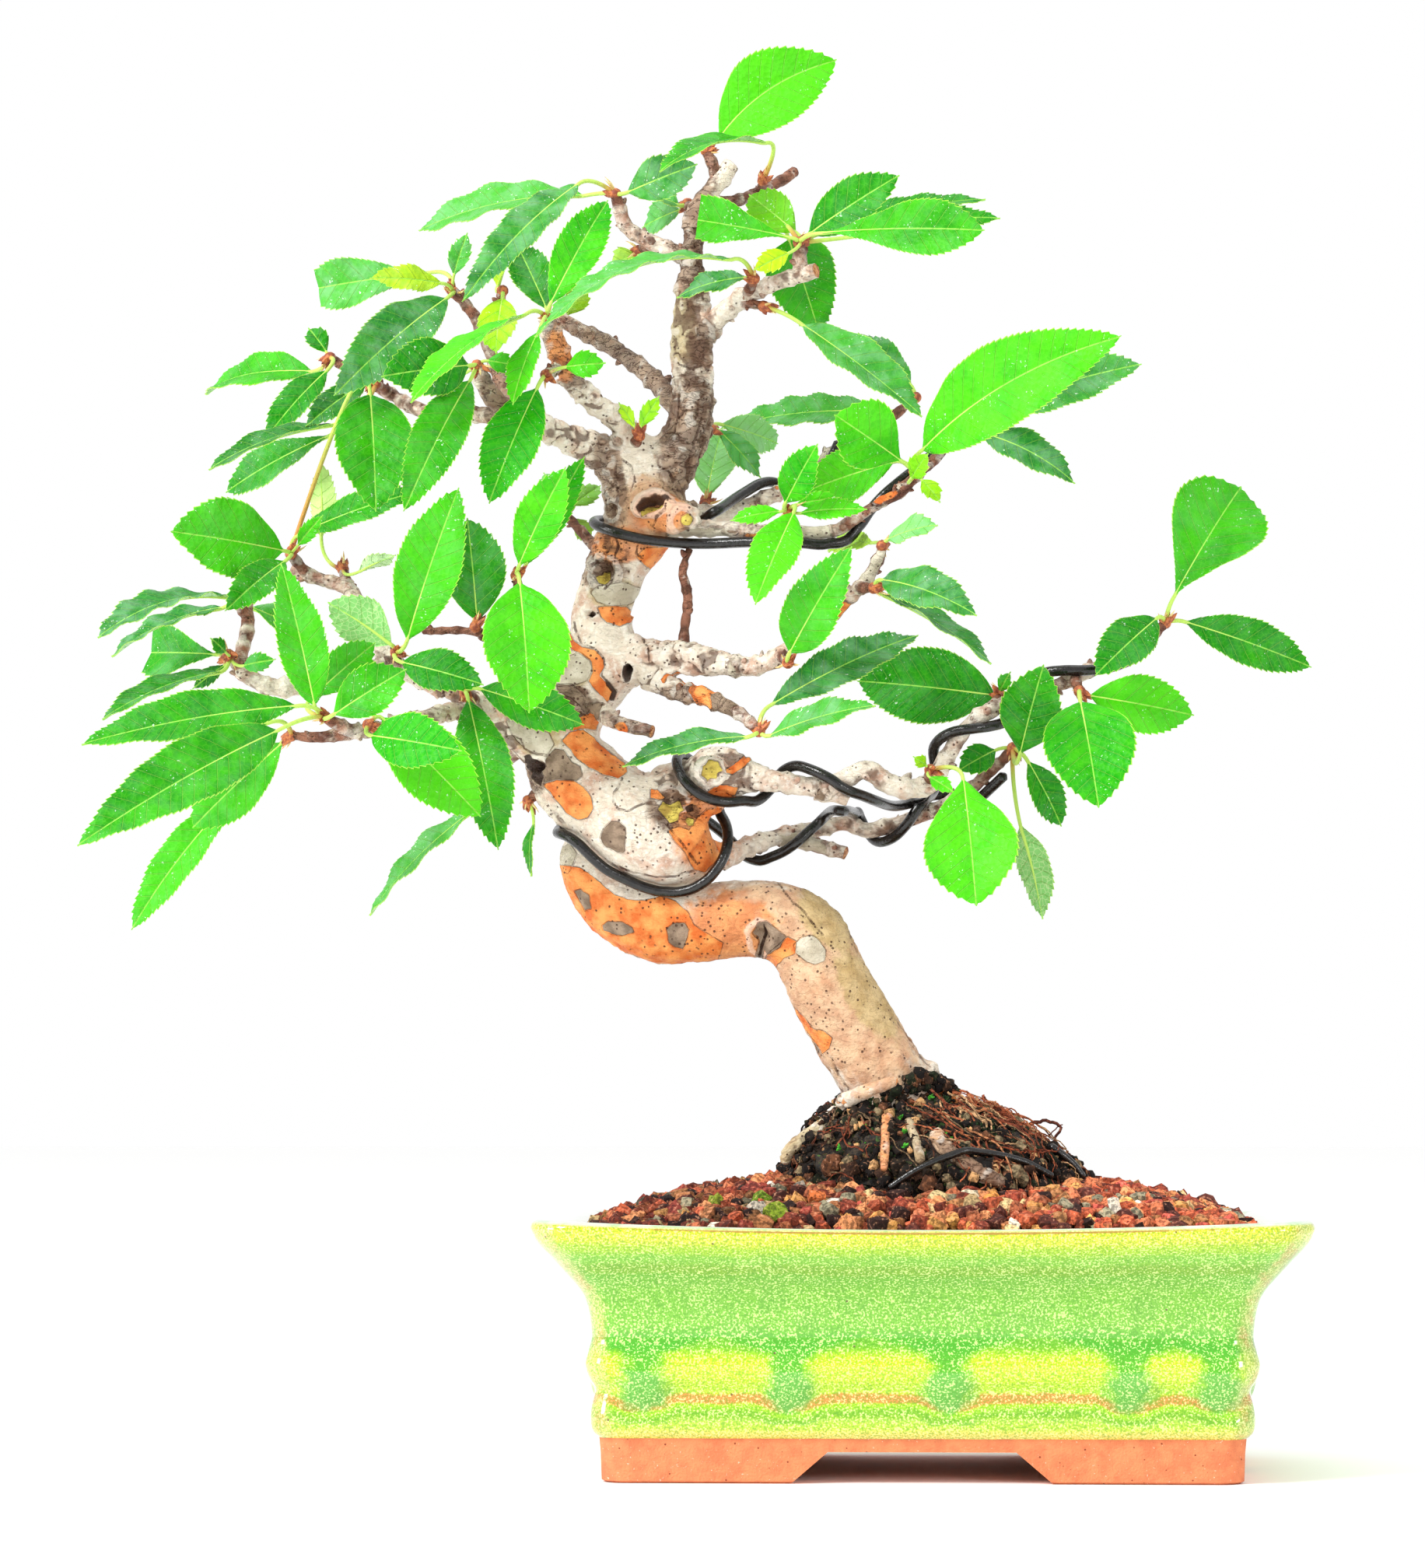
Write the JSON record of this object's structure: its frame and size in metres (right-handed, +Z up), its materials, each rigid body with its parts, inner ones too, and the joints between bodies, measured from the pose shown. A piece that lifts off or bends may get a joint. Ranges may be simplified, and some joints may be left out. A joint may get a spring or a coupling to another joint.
{
  "type": "bonsai tree in a pot",
  "caption": "Chinese quince bonsai with a bent, wired trunk and serrated leaves, in a rectangular green glazed ceramic pot with a flared rim and cut feet.",
  "frame": {"origin": "on the surface that the pot stands on, under the middle of the whole object's box; the pot's own middle lies 43.7 mm towards +X and 14.0 mm towards +Y from it", "axes": "+Z up; +X to the right along the pot's long side, as the picture looks at it; +Y away from the eye, so the pot's shown front faces -Y"},
  "size_m": [0.2552, 0.14, 0.3045],
  "materials": {
    "glaze": "gloss",
    "screen": "satin",
    "soil": "matte",
    "bark": "matte",
    "wire": "satin",
    "leaf_bright": "satin",
    "leaf_mature": "satin",
    "leaf_dull": "satin",
    "leaf_dark": "satin",
    "leaf_pale": "matte",
    "leaf_young": "satin"
  },
  "bodies": {
    "root": {"pot": "glaze", "screen_left": "screen", "screen_right": "screen", "soil": "soil", "trunk_and_branches": "bark", "wire_lower": "wire", "wire_upper": "wire", "wire_anchor_long": "wire", "wire_anchor_short": "wire", "spray_brown": "leaf_dark", "spray_crown": "leaf_bright", "spray_crown_arch": "leaf_mature", "spray_crown_inner": "leaf_young", "spray_far_left_back": "leaf_dark", "spray_far_left_high": "leaf_dull", "spray_far_left_low": "leaf_dark", "spray_fork_arch": "leaf_dull", "spray_fork_small": "leaf_pale", "spray_fork_under": "leaf_dull", "spray_inner": "leaf_bright", "spray_inner_back": "leaf_dark", "spray_leader_back": "leaf_pale", "spray_leader_low": "leaf_pale", "spray_left": "leaf_mature", "spray_left_far": "leaf_mature", "spray_left_high": "leaf_dull", "spray_left_inner": "leaf_young", "spray_left_low": "leaf_dark", "spray_low_back": "leaf_dull", "spray_low_bud": "leaf_pale", "spray_low_front": "leaf_mature", "spray_low_middle": "leaf_mature", "spray_low_pair": "leaf_bright", "spray_low_root": "leaf_mature", "spray_low_stub": "leaf_mature", "spray_low_upper": "leaf_mature", "spray_mid_bud": "leaf_mature", "spray_mid_low": "leaf_dull", "spray_mid_right": "leaf_pale", "spray_mid_spur": "leaf_dull", "spray_middle": "leaf_bright", "spray_middle_spur": "leaf_bright", "spray_pale": "leaf_pale", "spray_right_back": "leaf_mature", "spray_right_end": "leaf_bright", "spray_right_fork": "leaf_mature", "spray_right_high": "leaf_mature", "spray_right_low": "leaf_bright", "spray_right_tip": "leaf_mature", "spray_top_back": "leaf_pale", "spray_top_left": "leaf_dull", "spray_top_right": "leaf_bright", "spray_trunk_bud": "leaf_dark", "spray_upper": "leaf_bright", "spray_upper_back": "leaf_dull", "spray_upper_long": "leaf_dull"}
  },
  "joints": []
}
